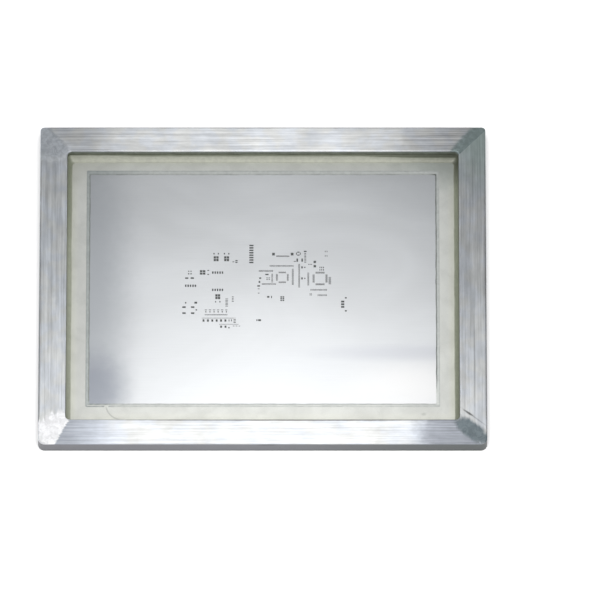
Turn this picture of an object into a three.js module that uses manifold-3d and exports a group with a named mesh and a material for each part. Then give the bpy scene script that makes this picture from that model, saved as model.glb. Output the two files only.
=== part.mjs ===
// A screen printing frame for solder paste: four mitred and welded aluminium box bars, a polyester mesh
// glued under them, and a stainless steel stencil foil glued under the mesh, with its paste apertures cut.
//
// Millimetres, +Z up. The frame lies on its print side: the foil's underside is at z = 0 and the origin is
// at the middle of the outline. X runs along the long bars, Y from the front bar to the back bar.

import * as THREE from "three";
import { mergeVertices } from "three/addons/utils/BufferGeometryUtils.js";
import Module from "manifold-3d";

const wasm = await Module();
wasm.setup();

// Driving dimensions of the frame.
const FRAME_LENGTH = 470; // X, outside
const FRAME_DEPTH = 370; // Y, outside
const BAR_WIDTH = 28.5;
const BAR_HEIGHT = 17;
const BAR_WALL = 1.8;
const OUTER_EDGE_RADIUS = 1.2; // the extrusion's top edge on the outside of the frame
const OUTER_FOOT_RADIUS = 0.5; // its bottom edge there
const INNER_EDGE_RADIUS = 0.9; // and both edges along the well
const GROOVE_COUNT = 3; // shallow grooves along each bar's top face
const GROOVE_WIDTH = 0.6;
const GROOVE_DEPTH = 0.1;
const FRONT_CORNER_RADIUS = 7; // the frame's corners, ground round after welding
const BACK_CORNER_RADIUS = 4;

// Welds: full-penetration seams along the mitres, with a fillet up each inner corner.
const WELD_HALF_WIDTH = 2;
const WELD_GAP = 0.3; // between a weld and its bars, which are separate solids
const WELD_FILLET = 4.5;

// The glued stack under the bars, from the print side up.
const FOIL_THICKNESS = 0.15;
const FOIL_BOND_THICKNESS = 0.1;
const MESH_THICKNESS = 0.2;
const FRAME_BOND_THICKNESS = 0.2;

// The stencil foil, and the window cut in the mesh above it.
const FOIL_LENGTH = 390;
const FOIL_DEPTH = 293;
const FOIL_OVERLAP = 10; // foil hidden under the mesh, on each side
const FOIL_OFFSET_Y = 4.6; // the foil sits a little nearer the back bar
const FOIL_CORNER_RADIUS = 3;
const WINDOW_CORNER_RADIUS = 1.5;

// Adhesive.
const TRIM_INSET = 0.8; // the mesh and its glue are trimmed this far inside the bars' outer faces
const BOND_INSET = 0.5;
const WALL_BEAD_FOOT = 5.6; // on the mesh
const WALL_BEAD_HEIGHT = 11; // up the wall
const WALL_BEAD_TOE = 0.25; // thickness left at its two edges
const WALL_BEAD_HOLLOW = 2.2; // how deeply its face curves in: 1 is flat
const SEAL_BEAD_WIDTH = 3;
const SEAL_BEAD_HEIGHT = 0.45;
const SOFT_GAP = 0.3; // between a bead and the pieces that it runs along

// Levels worked out from the stack.
const FOIL_TOP = FOIL_THICKNESS;
const MESH_BOTTOM = FOIL_TOP + FOIL_BOND_THICKNESS;
const MESH_TOP = MESH_BOTTOM + MESH_THICKNESS;
const BAR_BOTTOM = MESH_TOP + FRAME_BOND_THICKNESS;
const BAR_TOP = BAR_BOTTOM + BAR_HEIGHT;

const INNER_LENGTH = FRAME_LENGTH - 2 * BAR_WIDTH;
const INNER_DEPTH = FRAME_DEPTH - 2 * BAR_WIDTH;
const WINDOW_LENGTH = FOIL_LENGTH - 2 * FOIL_OVERLAP;
const WINDOW_DEPTH = FOIL_DEPTH - 2 * FOIL_OVERLAP;

const ARC_SEGMENTS = 6;

const aluminium = new THREE.MeshStandardMaterial({ color: 0xc4c6ca, roughness: 0.38, metalness: 1 });
const weldMetal = new THREE.MeshStandardMaterial({ color: 0xaeb2b6, roughness: 0.5, metalness: 1 });
const stainless = new THREE.MeshStandardMaterial({ color: 0xc9cccf, roughness: 0.3, metalness: 1 });
const polyester = new THREE.MeshStandardMaterial({ color: 0xd6d8c8, roughness: 0.7, metalness: 0 });
const epoxy = new THREE.MeshStandardMaterial({ color: 0x9aa084, roughness: 0.35, metalness: 0 });

const frame = new THREE.Group();

function addNode(name, geometry, material) {
  const mesh = new THREE.Mesh(geometry, material);
  mesh.name = name;
  frame.add(mesh);
  return mesh;
}

// ---- Solids ----

function solidOf(geometry) {
  const bare = geometry.index ? geometry.toNonIndexed() : geometry.clone();
  bare.deleteAttribute("normal");
  bare.deleteAttribute("uv");
  const merged = mergeVertices(bare, 1e-4);
  const vertProperties = merged.attributes.position.array;
  const triVerts = new Uint32Array(merged.index.array);
  return new wasm.Manifold(new wasm.Mesh({ numProp: 3, vertProperties, triVerts }));
}

function geometryOf(solid) {
  const mesh = solid.getMesh();
  const stride = mesh.numProp;
  const points = new Float32Array(mesh.numVert * 3);
  for (let i = 0; i < mesh.numVert; i++) {
    points.set(mesh.vertProperties.subarray(i * stride, i * stride + 3), i * 3);
  }
  const geometry = new THREE.BufferGeometry();
  geometry.setAttribute("position", new THREE.BufferAttribute(points, 3));
  geometry.setIndex(new THREE.BufferAttribute(mesh.triVerts, 1));
  geometry.computeVertexNormals();
  return geometry;
}

// ---- Outlines ----

// A rectangle with rounded corners, centred on (0, centreY). Its front and back corners may differ.
function roundedRectangle(length, depth, front, back = front, centreY = 0, Outline = THREE.Shape) {
  const x = length / 2;
  const low = centreY - depth / 2;
  const high = centreY + depth / 2;
  const outline = new Outline();
  outline.moveTo(front - x, low);
  outline.lineTo(x - front, low);
  outline.absarc(x - front, low + front, front, -Math.PI / 2, 0, false);
  outline.lineTo(x, high - back);
  outline.absarc(x - back, high - back, back, 0, Math.PI / 2, false);
  outline.lineTo(back - x, high);
  outline.absarc(back - x, high - back, back, Math.PI / 2, Math.PI, false);
  outline.lineTo(-x, low + front);
  outline.absarc(front - x, low + front, front, Math.PI, 1.5 * Math.PI, false);
  return outline;
}

function extrude(shape, bottom, height) {
  const geometry = new THREE.ExtrudeGeometry(shape, {
    depth: height,
    bevelEnabled: false,
    curveSegments: ARC_SEGMENTS,
  });
  geometry.translate(0, 0, bottom);
  return geometry;
}

// A flat ring between two rounded rectangles.
function flatRing(outer, inner, bottom, height) {
  outer.holes.push(inner);
  return extrude(outer, bottom, height);
}

// A closed band that follows a rounded rectangle: each section point is { inset, z }, where inset is
// measured inwards from the outline, and the section is listed counter-clockwise looking along the band.
function sweptRing(length, depth, radius, centreY, section) {
  const loops = section.map(({ inset, z }) => {
    const corner = Math.max(radius - inset, 0.05);
    const outline = roundedRectangle(length - 2 * inset, depth - 2 * inset, corner, corner, centreY);
    const points = outline.getPoints(ARC_SEGMENTS);
    points.pop(); // the last point repeats the first
    return points.map((p) => new THREE.Vector3(p.x, p.y, z));
  });
  const across = loops.length;
  const around = loops[0].length;
  const position = new THREE.Float32BufferAttribute(across * around * 3, 3);
  loops.flat().forEach((p, i) => position.setXYZ(i, p.x, p.y, p.z));
  const index = [];
  for (let i = 0; i < across; i++) {
    const next = (i + 1) % across;
    for (let j = 0; j < around; j++) {
      const ahead = (j + 1) % around;
      const [a, b] = [i * around + j, i * around + ahead];
      const [c, d] = [next * around + ahead, next * around + j];
      index.push(a, b, c, a, c, d);
    }
  }
  const geometry = new THREE.BufferGeometry();
  geometry.setAttribute("position", position);
  geometry.setIndex(index);
  geometry.computeVertexNormals();
  return geometry;
}

// ---- Bars ----

// The extrusion's section. u is measured from the frame's outer face inwards, v from the bottom face up.
function barSection() {
  const section = new THREE.Shape();
  const outer = OUTER_EDGE_RADIUS;
  const foot = OUTER_FOOT_RADIUS;
  const inner = INNER_EDGE_RADIUS;
  section.moveTo(foot, 0);
  section.lineTo(BAR_WIDTH - inner, 0);
  section.absarc(BAR_WIDTH - inner, inner, inner, -Math.PI / 2, 0, false);
  section.lineTo(BAR_WIDTH, BAR_HEIGHT - inner);
  section.absarc(BAR_WIDTH - inner, BAR_HEIGHT - inner, inner, 0, Math.PI / 2, false);
  const pitch = BAR_WIDTH / (GROOVE_COUNT + 1);
  for (let i = GROOVE_COUNT; i > 0; i--) {
    section.lineTo(i * pitch + GROOVE_WIDTH / 2, BAR_HEIGHT);
    section.lineTo(i * pitch, BAR_HEIGHT - GROOVE_DEPTH);
    section.lineTo(i * pitch - GROOVE_WIDTH / 2, BAR_HEIGHT);
  }
  section.lineTo(outer, BAR_HEIGHT);
  section.absarc(outer, BAR_HEIGHT - outer, outer, Math.PI / 2, Math.PI, false);
  section.lineTo(0, foot);
  section.absarc(foot, foot, foot, Math.PI, 1.5 * Math.PI, false);

  const hollow = new THREE.Path();
  hollow.moveTo(BAR_WALL, BAR_WALL);
  hollow.lineTo(BAR_WALL, BAR_HEIGHT - BAR_WALL);
  hollow.lineTo(BAR_WIDTH - BAR_WALL, BAR_HEIGHT - BAR_WALL);
  hollow.lineTo(BAR_WIDTH - BAR_WALL, BAR_WALL);
  hollow.closePath();
  section.holes.push(hollow);
  return section;
}

// A bar of the given outside length, mitred at both ends, lying along X with its outer face at
// y = -offset. Each mitre stands back from the true mitre plane by setBack, measured square to it.
function mitredBar(outsideLength, offset, setBack) {
  const geometry = new THREE.ExtrudeGeometry(barSection(), {
    depth: 1,
    bevelEnabled: false,
    curveSegments: ARC_SEGMENTS,
  });
  const position = geometry.attributes.position;
  for (let i = 0; i < position.count; i++) {
    const u = position.getX(i);
    const v = position.getY(i);
    const end = position.getZ(i) < 0.5 ? -1 : 1;
    const reach = outsideLength / 2 - u - setBack * Math.SQRT2;
    position.setXYZ(i, end * reach, u - offset, v + BAR_BOTTOM);
  }
  return geometry;
}

// The four bars, as the turn about Z that carries the front bar to each place.
const SIDES = [
  { name: "front", turn: 0, length: FRAME_LENGTH, offset: FRAME_DEPTH / 2 },
  { name: "right", turn: Math.PI / 2, length: FRAME_DEPTH, offset: FRAME_LENGTH / 2 },
  { name: "back", turn: Math.PI, length: FRAME_LENGTH, offset: FRAME_DEPTH / 2 },
  { name: "left", turn: -Math.PI / 2, length: FRAME_DEPTH, offset: FRAME_LENGTH / 2 },
];

// The frame's outline with its corners ground round, tall enough to trim the bars.
const groundOutline = solidOf(
  extrude(
    roundedRectangle(FRAME_LENGTH, FRAME_DEPTH, FRONT_CORNER_RADIUS, BACK_CORNER_RADIUS),
    0,
    2 * BAR_HEIGHT,
  ),
);

for (const side of SIDES) {
  const setBack = WELD_HALF_WIDTH + WELD_GAP;
  const blank = mitredBar(side.length, side.offset, setBack).rotateZ(side.turn);
  addNode(`frame_bar_${side.name}`, geometryOf(solidOf(blank).intersect(groundOutline)), aluminium);
}

// ---- Corner welds ----

// A weld is made once, with the frame's outer corner at the origin and its two bars along -X and -Y.
// It takes its section from the bars of a small square frame with that corner.
const SAMPLE = 4 * BAR_WIDTH;

// The fillet up the inner corner. The two middle points reach into the seam, so that fillet and seam are
// one piece of weld metal.
function weldFillet() {
  const root = WELD_HALF_WIDTH / 2;
  const fillet = new THREE.Shape();
  fillet.moveTo(0, -WELD_FILLET);
  fillet.lineTo(0, -root);
  fillet.lineTo(root, root);
  fillet.lineTo(-root, 0);
  fillet.lineTo(-WELD_FILLET, 0);
  fillet.absarc(-WELD_FILLET, -WELD_FILLET, WELD_FILLET, Math.PI / 2, 0, true);
  const geometry = extrude(fillet, BAR_BOTTOM, BAR_HEIGHT - INNER_EDGE_RADIUS);
  return geometry.translate(-BAR_WIDTH, -BAR_WIDTH, 0);
}

function weldGeometry(cornerRadius) {
  const [along, across] = [Math.PI, Math.PI / 2].map((turn) => {
    const bar = mitredBar(SAMPLE, SAMPLE / 2, 0).rotateZ(turn);
    return solidOf(bar.translate(-SAMPLE / 2, -SAMPLE / 2, 0));
  });
  const slab = new THREE.BoxGeometry(SAMPLE, 2 * WELD_HALF_WIDTH, 2 * BAR_HEIGHT);
  slab.rotateZ(Math.PI / 4).translate(0, 0, BAR_BOTTOM + BAR_HEIGHT / 2);
  const ground = extrude(roundedRectangle(SAMPLE, SAMPLE, cornerRadius), 0, 2 * BAR_HEIGHT);
  ground.translate(-SAMPLE / 2, -SAMPLE / 2, 0);
  const seam = along.add(across).intersect(solidOf(slab)).intersect(solidOf(ground));
  return geometryOf(seam.add(solidOf(weldFillet())));
}

const CORNERS = [
  { name: "back_right", turn: 0, x: 1, y: 1, radius: BACK_CORNER_RADIUS },
  { name: "back_left", turn: Math.PI / 2, x: -1, y: 1, radius: BACK_CORNER_RADIUS },
  { name: "front_left", turn: Math.PI, x: -1, y: -1, radius: FRONT_CORNER_RADIUS },
  { name: "front_right", turn: -Math.PI / 2, x: 1, y: -1, radius: FRONT_CORNER_RADIUS },
];
for (const corner of CORNERS) {
  const weld = addNode(`corner_weld_${corner.name}`, weldGeometry(corner.radius), weldMetal);
  weld.position.set((corner.x * FRAME_LENGTH) / 2, (corner.y * FRAME_DEPTH) / 2, 0);
  weld.rotation.z = corner.turn;
}

// ---- Mesh and adhesive ----

// The outline to which the mesh and its glue are trimmed, a little inside the bars' outer faces.
function trimmedOutline() {
  return roundedRectangle(
    FRAME_LENGTH - 2 * TRIM_INSET,
    FRAME_DEPTH - 2 * TRIM_INSET,
    FRONT_CORNER_RADIUS - TRIM_INSET,
    BACK_CORNER_RADIUS - TRIM_INSET,
  );
}

// The window in the mesh, grown by a margin on each side.
function windowOutline(margin) {
  const length = WINDOW_LENGTH + 2 * margin;
  const depth = WINDOW_DEPTH + 2 * margin;
  const radius = WINDOW_CORNER_RADIUS;
  return roundedRectangle(length, depth, radius, radius, FOIL_OFFSET_Y, THREE.Path);
}

// The foil's edge, drawn in by a margin on each side.
function foilOutline(margin) {
  const length = FOIL_LENGTH - 2 * margin;
  const depth = FOIL_DEPTH - 2 * margin;
  return roundedRectangle(length, depth, FOIL_CORNER_RADIUS, FOIL_CORNER_RADIUS, FOIL_OFFSET_Y);
}

const innerEdge = roundedRectangle(INNER_LENGTH, INNER_DEPTH, WELD_FILLET, WELD_FILLET, 0, THREE.Path);
const frameBond = flatRing(trimmedOutline(), innerEdge, MESH_TOP, FRAME_BOND_THICKNESS);
addNode("frame_bond_film", frameBond, epoxy);

const meshSheet = flatRing(trimmedOutline(), windowOutline(0), MESH_BOTTOM, MESH_THICKNESS);
addNode("polyester_mesh", meshSheet, polyester);

const foilBond = flatRing(
  foilOutline(BOND_INSET),
  windowOutline(BOND_INSET),
  FOIL_TOP,
  FOIL_BOND_THICKNESS,
);
addNode("foil_bond_border", foilBond, epoxy);

// The bead between the bars' inner faces and the mesh: thin up the wall, and widening to a foot.
function wallBeadSection() {
  const reach = WALL_BEAD_FOOT - WALL_BEAD_TOE;
  const rise = WALL_BEAD_HEIGHT - WALL_BEAD_TOE;
  const face = [];
  for (let i = 0; i <= ARC_SEGMENTS; i++) {
    const along = i / ARC_SEGMENTS;
    face.push({
      inset: WALL_BEAD_TOE + reach * along ** WALL_BEAD_HOLLOW,
      z: MESH_TOP + WALL_BEAD_TOE + rise * (1 - along) ** WALL_BEAD_HOLLOW,
    });
  }
  return [
    { inset: 0, z: MESH_TOP },
    { inset: 0, z: MESH_TOP + WALL_BEAD_HEIGHT },
    ...face,
    { inset: WALL_BEAD_FOOT, z: MESH_TOP },
  ];
}

addNode(
  "wall_bead",
  sweptRing(
    INNER_LENGTH - 2 * SOFT_GAP,
    INNER_DEPTH - 2 * SOFT_GAP,
    WELD_FILLET + SOFT_GAP,
    0,
    wallBeadSection(),
  ),
  epoxy,
);

// The low bead that seals the mesh's cut edge to the foil.
function sealBeadSection() {
  const section = [];
  for (let i = 0; i <= ARC_SEGMENTS; i++) {
    const angle = (i / ARC_SEGMENTS) * Math.PI;
    section.push({
      inset: (SEAL_BEAD_WIDTH / 2) * (1 - Math.cos(angle)),
      z: FOIL_TOP + SEAL_BEAD_HEIGHT * Math.sin(angle),
    });
  }
  return section;
}

addNode(
  "edge_seal_bead",
  sweptRing(
    WINDOW_LENGTH - 2 * SOFT_GAP,
    WINDOW_DEPTH - 2 * SOFT_GAP,
    WINDOW_CORNER_RADIUS,
    FOIL_OFFSET_Y,
    sealBeadSection(),
  ),
  epoxy,
);

// ---- Stencil foil ----

// Paste apertures, as land patterns of common surface-mount parts. Each function adds rectangles
// [centre x, centre y, width along X, height along Y] to the list. A place is measured from the board's
// datum, which lies this far from the frame's middle.
const BOARD_DATUM_Y = -0.4;
const apertures = [];

function pad(x, y, width, height) {
  apertures.push([x, y, width, height]);
}

function rowOfPads(x, y, count, pitch, width, height) {
  for (let i = 0; i < count; i++) pad(x + (i - (count - 1) / 2) * pitch, y, width, height);
}

function columnOfPads(x, y, count, pitch, width, height) {
  for (let i = 0; i < count; i++) pad(x, y + (i - (count - 1) / 2) * pitch, width, height);
}

// A block of window panes over one large land.
function panes(x, y, columns, rows, width, height, bridge) {
  for (let row = 0; row < rows; row++) {
    rowOfPads(x, y + (row - (rows - 1) / 2) * (height + bridge), columns, width + bridge, width, height);
  }
}

// A power package: a heat tab in four panes and two leads, which point along (dx, dy) from the tab.
function powerPackage(x, y, dx, dy) {
  const LEAD_REACH = 5.9;
  const LEAD_SPREAD = 2.3;
  const along = Math.abs(dx) > 0;
  panes(x, y, 2, 2, along ? 2.7 : 2.4, along ? 2.4 : 2.7, 0.4);
  for (const side of [-1, 1]) {
    const leadX = x + dx * LEAD_REACH + Math.abs(dy) * side * LEAD_SPREAD;
    const leadY = y + dy * LEAD_REACH + Math.abs(dx) * side * LEAD_SPREAD;
    pad(leadX, leadY, along ? 1.8 : 1.2, along ? 1.2 : 1.8);
  }
}

// A quad flat pack with the same number of leads on each side.
function quadFlatPack(x, y, span, perSide, pitch, leadWidth, leadLength) {
  const reach = (span - leadLength) / 2;
  for (const side of [-1, 1]) {
    rowOfPads(x, y + side * reach, perSide, pitch, leadWidth, leadLength);
    columnOfPads(x + side * reach, y, perSide, pitch, leadLength, leadWidth);
  }
}

const HEADER_PITCH = 2.54;
const GULL_PITCH = 1.27;

// Power stage, on the left.
powerPackage(-49.2, 39.2, 0, 1);
powerPackage(-38.2, 39.2, 0, 1);
powerPackage(-63.4, 23.2, 1, 0);
powerPackage(-47.4, -5.2, 0, -1);
rowOfPads(-47.6, 23, 5, HEADER_PITCH, 1.5, 2.8);
rowOfPads(-47.6, 2.8, 5, HEADER_PITCH, 1.5, 2.8);
rowOfPads(-76, 7.6, 5, HEADER_PITCH, 1.5, 2.8);
rowOfPads(-77.2, 16.5, 2, 5.8, 3.4, 1.8);
rowOfPads(-76.8, 24.6, 2, 2.4, 1.3, 1.2);
rowOfPads(-76.8, 21.6, 2, 2.4, 1.3, 1.6);
pad(-31.2, 35.6, 2, 0.9);
columnOfPads(-27.8, 36, 2, 2, 2.3, 1.3);
columnOfPads(-38, -12, 6, 1.7, 2.6, 0.8);
columnOfPads(-31.6, -8, 4, 1.8, 2, 0.8);

// Two rows of inductors and their small neighbours, low on the left.
for (const y of [-17.4, -24.4]) rowOfPads(-78.3, y, 2, 9.1, 3.6, 1.9);
pad(-81.1, -12.3, 1.4, 1.8);
pad(-70.5, -12.2, 2.8, 2.2);
pad(-69.9, -20.6, 1.6, 1.4);

// The driver bank: a fine-pitch connector between two rows of larger lands.
const BANK_COUNT = 6;
rowOfPads(-49.1, -20.6, BANK_COUNT, 4.3, 2.4, 0.8);
rowOfPads(-49.1, -22.8, BANK_COUNT, 4.3, 1, 1.8);
rowOfPads(-49.1, -26.3, 24, 1, 0.64, 1.3);
rowOfPads(-46.4, -30.2, 28, GULL_PITCH, 0.7, 0.9);
rowOfPads(-50.8, -33, BANK_COUNT, 4.6, 2, 2.8);
rowOfPads(-35.6, -37.4, 16, GULL_PITCH, 0.7, 0.9);
rowOfPads(-41.5, -40.2, 2, 4.6, 2, 2.6);
rowOfPads(-34.2, -32.8, 2, 2.6, 0.9, 2.4);
columnOfPads(-29.6, -33.6, 2, 2.6, 2.4, 1.3);
pad(-35.6, -41.4, 1.4, 1.6);
rowOfPads(-27.6, -39.4, 3, 3, 1.6, 0.8);

// A header, and the two lands of a part below the logic.
columnOfPads(-12.1, 44.8, 8, 2.84, 4.4, 1.7);
pad(-6.2, -32.6, 1.2, 2);
pad(-3.4, -32.6, 3, 2.2);

// Ribbon connector with its two anchors.
rowOfPads(21, 44.6, 2, 19.6, 2.9, 3.2);
rowOfPads(21, 42.2, 14, 1, 0.64, 1.6);

// Logic, in the middle.
rowOfPads(19.7, 30.8, 20, GULL_PITCH, 0.7, 1.8);
rowOfPads(3.2, 24.9, 12, GULL_PITCH, 0.7, 1.9);
pad(4.3, 20.8, 3.4, 1.5);
panes(5.6, 15.9, 2, 2, 1.4, 0.9, 0.9);
columnOfPads(9.8, 16.6, 7, 1.5, 1.7, 0.8);
rowOfPads(6.4, 9.6, 12, GULL_PITCH, 0.7, 1.7);
quadFlatPack(20.5, 17.4, 13.4, 12, 0.65, 0.4, 1.9);
columnOfPads(31.5, 18, 15, GULL_PITCH, 2, 0.7);
columnOfPads(38.2, 19.4, 22, GULL_PITCH, 1.7, 0.75);
for (const y of [29.1, 16.2]) {
  pad(41.2, y, 1.6, 2.5);
  pad(44.2, y, 1.3, 1.5);
}

// Passives beside the logic.
pad(-2.8, 16.5, 2.2, 1.7);
pad(-3.6, 12.1, 1.8, 2.2);
pad(-4.4, 7.4, 2.8, 1.8);
pad(-4.4, 4, 2, 0.9);
pad(-4.4, -1, 1.8, 0.9);
columnOfPads(37.4, 45.2, 2, 3.4, 2.4, 1.2);
rowOfPads(37.4, 45.2, 2, 4, 0.9, 2.6);
pad(44.6, 47.8, 2.8, 1.5);
columnOfPads(44.6, 40.2, 7, 1.7, 2, 0.85);
pad(33.7, 36.1, 2.4, 0.8);
rowOfPads(38.8, 37.6, 2, 5.2, 1.6, 3.8);
rowOfPads(49.8, 32.6, 3, 1.5, 0.9, 1.1);

// Second processor, on the right, with its supporting rows.
quadFlatPack(60.2, 16.1, 15.8, 12, 0.8, 0.5, 2.2);
columnOfPads(54.7, 33, 2, 5, 2.6, 2.8);
panes(62, 27.6, 3, 2, 0.9, 1.8, 1);
columnOfPads(47.8, 15.5, 12, GULL_PITCH, 1.9, 0.7);
columnOfPads(70.5, 13.6, 7, GULL_PITCH, 2.6, 0.7);
rowOfPads(58.8, 2.8, 14, GULL_PITCH, 0.65, 1.9);
rowOfPads(62.5, -3.4, 8, GULL_PITCH, 0.65, 1.9);
panes(50.4, -2.5, 2, 2, 0.9, 0.9, 0.5);
for (const y of [42.5, 47.7]) rowOfPads(66.6, y, 2, 1.9, 0.8, 1.7);

// Connectors low in the middle and on the right.
pad(5.7, -5.4, 2.5, 2);
pad(9.1, -5.6, 1, 2.6);
panes(20.5, -7.5, 2, 3, 1.8, 1.5, 0.5);
columnOfPads(84, -14, 3, 3.1, 3.4, 2.2);
columnOfPads(87.3, -14.1, 2, 15.2, 2, 1.7);

function foilSolid() {
  const cutters = apertures.map(([x, y, width, height]) => {
    const cutter = new THREE.BoxGeometry(width, height, 3 * FOIL_THICKNESS);
    return solidOf(cutter.translate(x, y + BOARD_DATUM_Y, FOIL_THICKNESS / 2));
  });
  const sheet = solidOf(extrude(foilOutline(0), 0, FOIL_THICKNESS));
  return sheet.subtract(wasm.Manifold.union(cutters));
}

addNode("stencil_foil", geometryOf(foilSolid()), stainless);

export default frame;
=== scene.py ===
"""The looks of a solder paste screen printing frame: ground aluminium bars, a stretched polyester mesh,
olive adhesive and a stainless stencil foil, seen from the squeegee side. Everything is in metres, in the
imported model's frame."""

import math

import bpy
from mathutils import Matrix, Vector, noise


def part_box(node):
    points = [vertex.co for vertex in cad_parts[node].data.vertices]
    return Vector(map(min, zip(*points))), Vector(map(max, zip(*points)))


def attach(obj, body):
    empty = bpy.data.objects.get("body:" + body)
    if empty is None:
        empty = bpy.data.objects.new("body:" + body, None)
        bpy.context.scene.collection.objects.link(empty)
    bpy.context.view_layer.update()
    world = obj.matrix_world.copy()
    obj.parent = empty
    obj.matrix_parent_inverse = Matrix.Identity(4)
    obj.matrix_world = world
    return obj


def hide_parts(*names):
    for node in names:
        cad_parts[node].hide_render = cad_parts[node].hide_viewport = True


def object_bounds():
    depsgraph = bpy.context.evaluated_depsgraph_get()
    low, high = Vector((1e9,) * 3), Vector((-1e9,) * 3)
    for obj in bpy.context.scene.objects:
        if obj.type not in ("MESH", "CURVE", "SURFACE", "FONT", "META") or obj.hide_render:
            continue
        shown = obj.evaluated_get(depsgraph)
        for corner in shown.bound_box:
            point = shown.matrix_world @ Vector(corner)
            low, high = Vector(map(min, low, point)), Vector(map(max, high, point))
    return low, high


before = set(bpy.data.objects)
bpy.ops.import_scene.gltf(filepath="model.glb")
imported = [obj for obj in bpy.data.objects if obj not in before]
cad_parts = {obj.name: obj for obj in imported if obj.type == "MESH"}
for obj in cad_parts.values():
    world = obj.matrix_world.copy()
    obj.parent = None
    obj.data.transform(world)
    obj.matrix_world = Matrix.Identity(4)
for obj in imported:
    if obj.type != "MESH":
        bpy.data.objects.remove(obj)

MM = 0.001
CAD_LOW, CAD_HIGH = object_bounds()

# ---- Sizes read from the frame ----

HALF_X = CAD_HIGH.x
HALF_Y = CAD_HIGH.y
FRONT_BAR_LOW, FRONT_BAR_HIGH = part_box("frame_bar_front")
BAR_WIDTH = FRONT_BAR_HIGH.y - FRONT_BAR_LOW.y
BAR_BOTTOM = FRONT_BAR_LOW.z
BAR_TOP = FRONT_BAR_HIGH.z
BAR_HEIGHT = BAR_TOP - BAR_BOTTOM
MESH_LOW, MESH_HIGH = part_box("polyester_mesh")
FOIL_LOW, FOIL_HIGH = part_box("stencil_foil")
WALL_BEAD_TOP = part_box("wall_bead")[1].z
SEAL_LOW, SEAL_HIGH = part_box("edge_seal_bead")
WELL_X = HALF_X - BAR_WIDTH
WELL_Y = HALF_Y - BAR_WIDTH

# ---- Sizes chosen here, the same as the design's ----

OUTER_EDGE_RADIUS = 1.2 * MM  # the bars' top edges on the outside of the frame
OUTER_FOOT_RADIUS = 0.5 * MM  # their bottom edges there
INNER_EDGE_RADIUS = 0.9 * MM  # and both edges along the well
CORNER_RADII = (7 * MM, 4 * MM)  # of the outline, in front and at the back
WELD_FILLET = 4.5 * MM
SOFT_GAP = 0.3 * MM  # between the design's seal bead and the mesh's cut edge
WINDOW_CORNER_RADIUS = 1.5 * MM
WALL_BEAD_FOOT = 5.6 * MM
SEAL_BEAD_WIDTH = 3.4 * MM
SHEET_TRIM = 0.8 * MM  # how far the mesh ends inside the outline

WINDOW_X = SEAL_HIGH.x + SOFT_GAP
WINDOW_Y = (SEAL_HIGH.y - SEAL_LOW.y) / 2 + SOFT_GAP
WINDOW_CENTRE_Y = (SEAL_HIGH.y + SEAL_LOW.y) / 2


# ---- Geometry helpers ----

def smooth_step(value, low, high):
    share = min(max((value - low) / (high - low), 0.0), 1.0)
    return share * share * (3 - 2 * share)


def wander(x, y, z, scale):
    """Smooth noise from about -1 to 1 with features of about the given size."""
    return noise.noise(Vector((x, y, z)) / scale)


def ring(half_x, half_y, radii, counts, centre_y=0.0):
    """Points round a rounded rectangle, counter-clockwise from the front right corner. radii are those of
    the front and back corners, and counts the points along X, along Y and round a corner, so that rings
    with the same counts match point for point."""
    front, back = radii
    along_x, along_y, around = counts
    arcs = []
    for turn, (sign_x, sign_y, radius) in enumerate(
        [(1, -1, front), (1, 1, back), (-1, 1, back), (-1, -1, front)]
    ):
        middle = Vector((sign_x * (half_x - radius), centre_y + sign_y * (half_y - radius)))
        angles = [math.radians(90 * (turn - 1 + step / around)) for step in range(around + 1)]
        arcs.append([middle + radius * Vector((math.cos(a), math.sin(a))) for a in angles])
    points = []
    for turn, arc in enumerate(arcs):
        following = arcs[(turn + 1) % 4][0]
        steps = along_y if turn % 2 == 0 else along_x
        points += arc
        points += [arc[-1].lerp(following, step / steps) for step in range(1, steps)]
    return points


def add_piece(name, vertices, faces, materials, slots=None, coordinates=None):
    """A mesh object. slots gives each face's material, and coordinates each vertex's place in metres
    along and across the piece, for textures that follow it."""
    mesh = bpy.data.meshes.new(name)
    mesh.from_pydata([tuple(v) for v in vertices], [], faces)
    for material in materials:
        mesh.materials.append(material)
    if slots:
        mesh.polygons.foreach_set("material_index", slots)
    if coordinates:
        layer = mesh.uv_layers.new(name="along")
        for loop, texel in zip(mesh.loops, layer.data):
            texel.uv = coordinates[loop.vertex_index]
    mesh.polygons.foreach_set("use_smooth", [True] * len(mesh.polygons))
    mesh.set_sharp_from_angle(angle=math.radians(38))
    piece = bpy.data.objects.new(name, mesh)
    bpy.context.scene.collection.objects.link(piece)
    return piece


def keep_flats_flat(piece):
    weighted = piece.modifiers.new("weighted_normals", "WEIGHTED_NORMAL")
    weighted.keep_sharp = True


def closed_band(loops):
    """Faces joining loops of equal length, each to the next and the last to the first."""
    across, around = len(loops), len(loops[0])
    faces = []
    for i in range(across):
        this, following = i * around, (i + 1) % across * around
        for j in range(around):
            ahead = (j + 1) % around
            faces.append((this + j, this + ahead, following + ahead, following + j))
    return faces


# ---- Node helpers ----

def node(tree, kind, inputs=None, **settings):
    """Adds a node. A value in inputs is either another node's output, which is linked, or a number."""
    made = tree.nodes.new(kind)
    for name, value in settings.items():
        setattr(made, name, value)
    for name, value in (inputs or {}).items():
        if isinstance(value, bpy.types.NodeSocket):
            tree.links.new(value, made.inputs[name])
        else:
            made.inputs[name].default_value = value
    return made


def maths(tree, operation, first, second=0.0, clamp=False):
    values = {0: first, 1: second}
    return node(tree, "ShaderNodeMath", values, operation=operation, use_clamp=clamp).outputs[0]


def remap(tree, value, low, high, to_low=0.0, to_high=1.0):
    """Value taken from low..high to to_low..to_high, smoothly and no further."""
    values = {"Value": value, "From Min": low, "From Max": high, "To Min": to_low, "To Max": to_high}
    return node(tree, "ShaderNodeMapRange", values, interpolation_type="SMOOTHSTEP").outputs["Result"]


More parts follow.
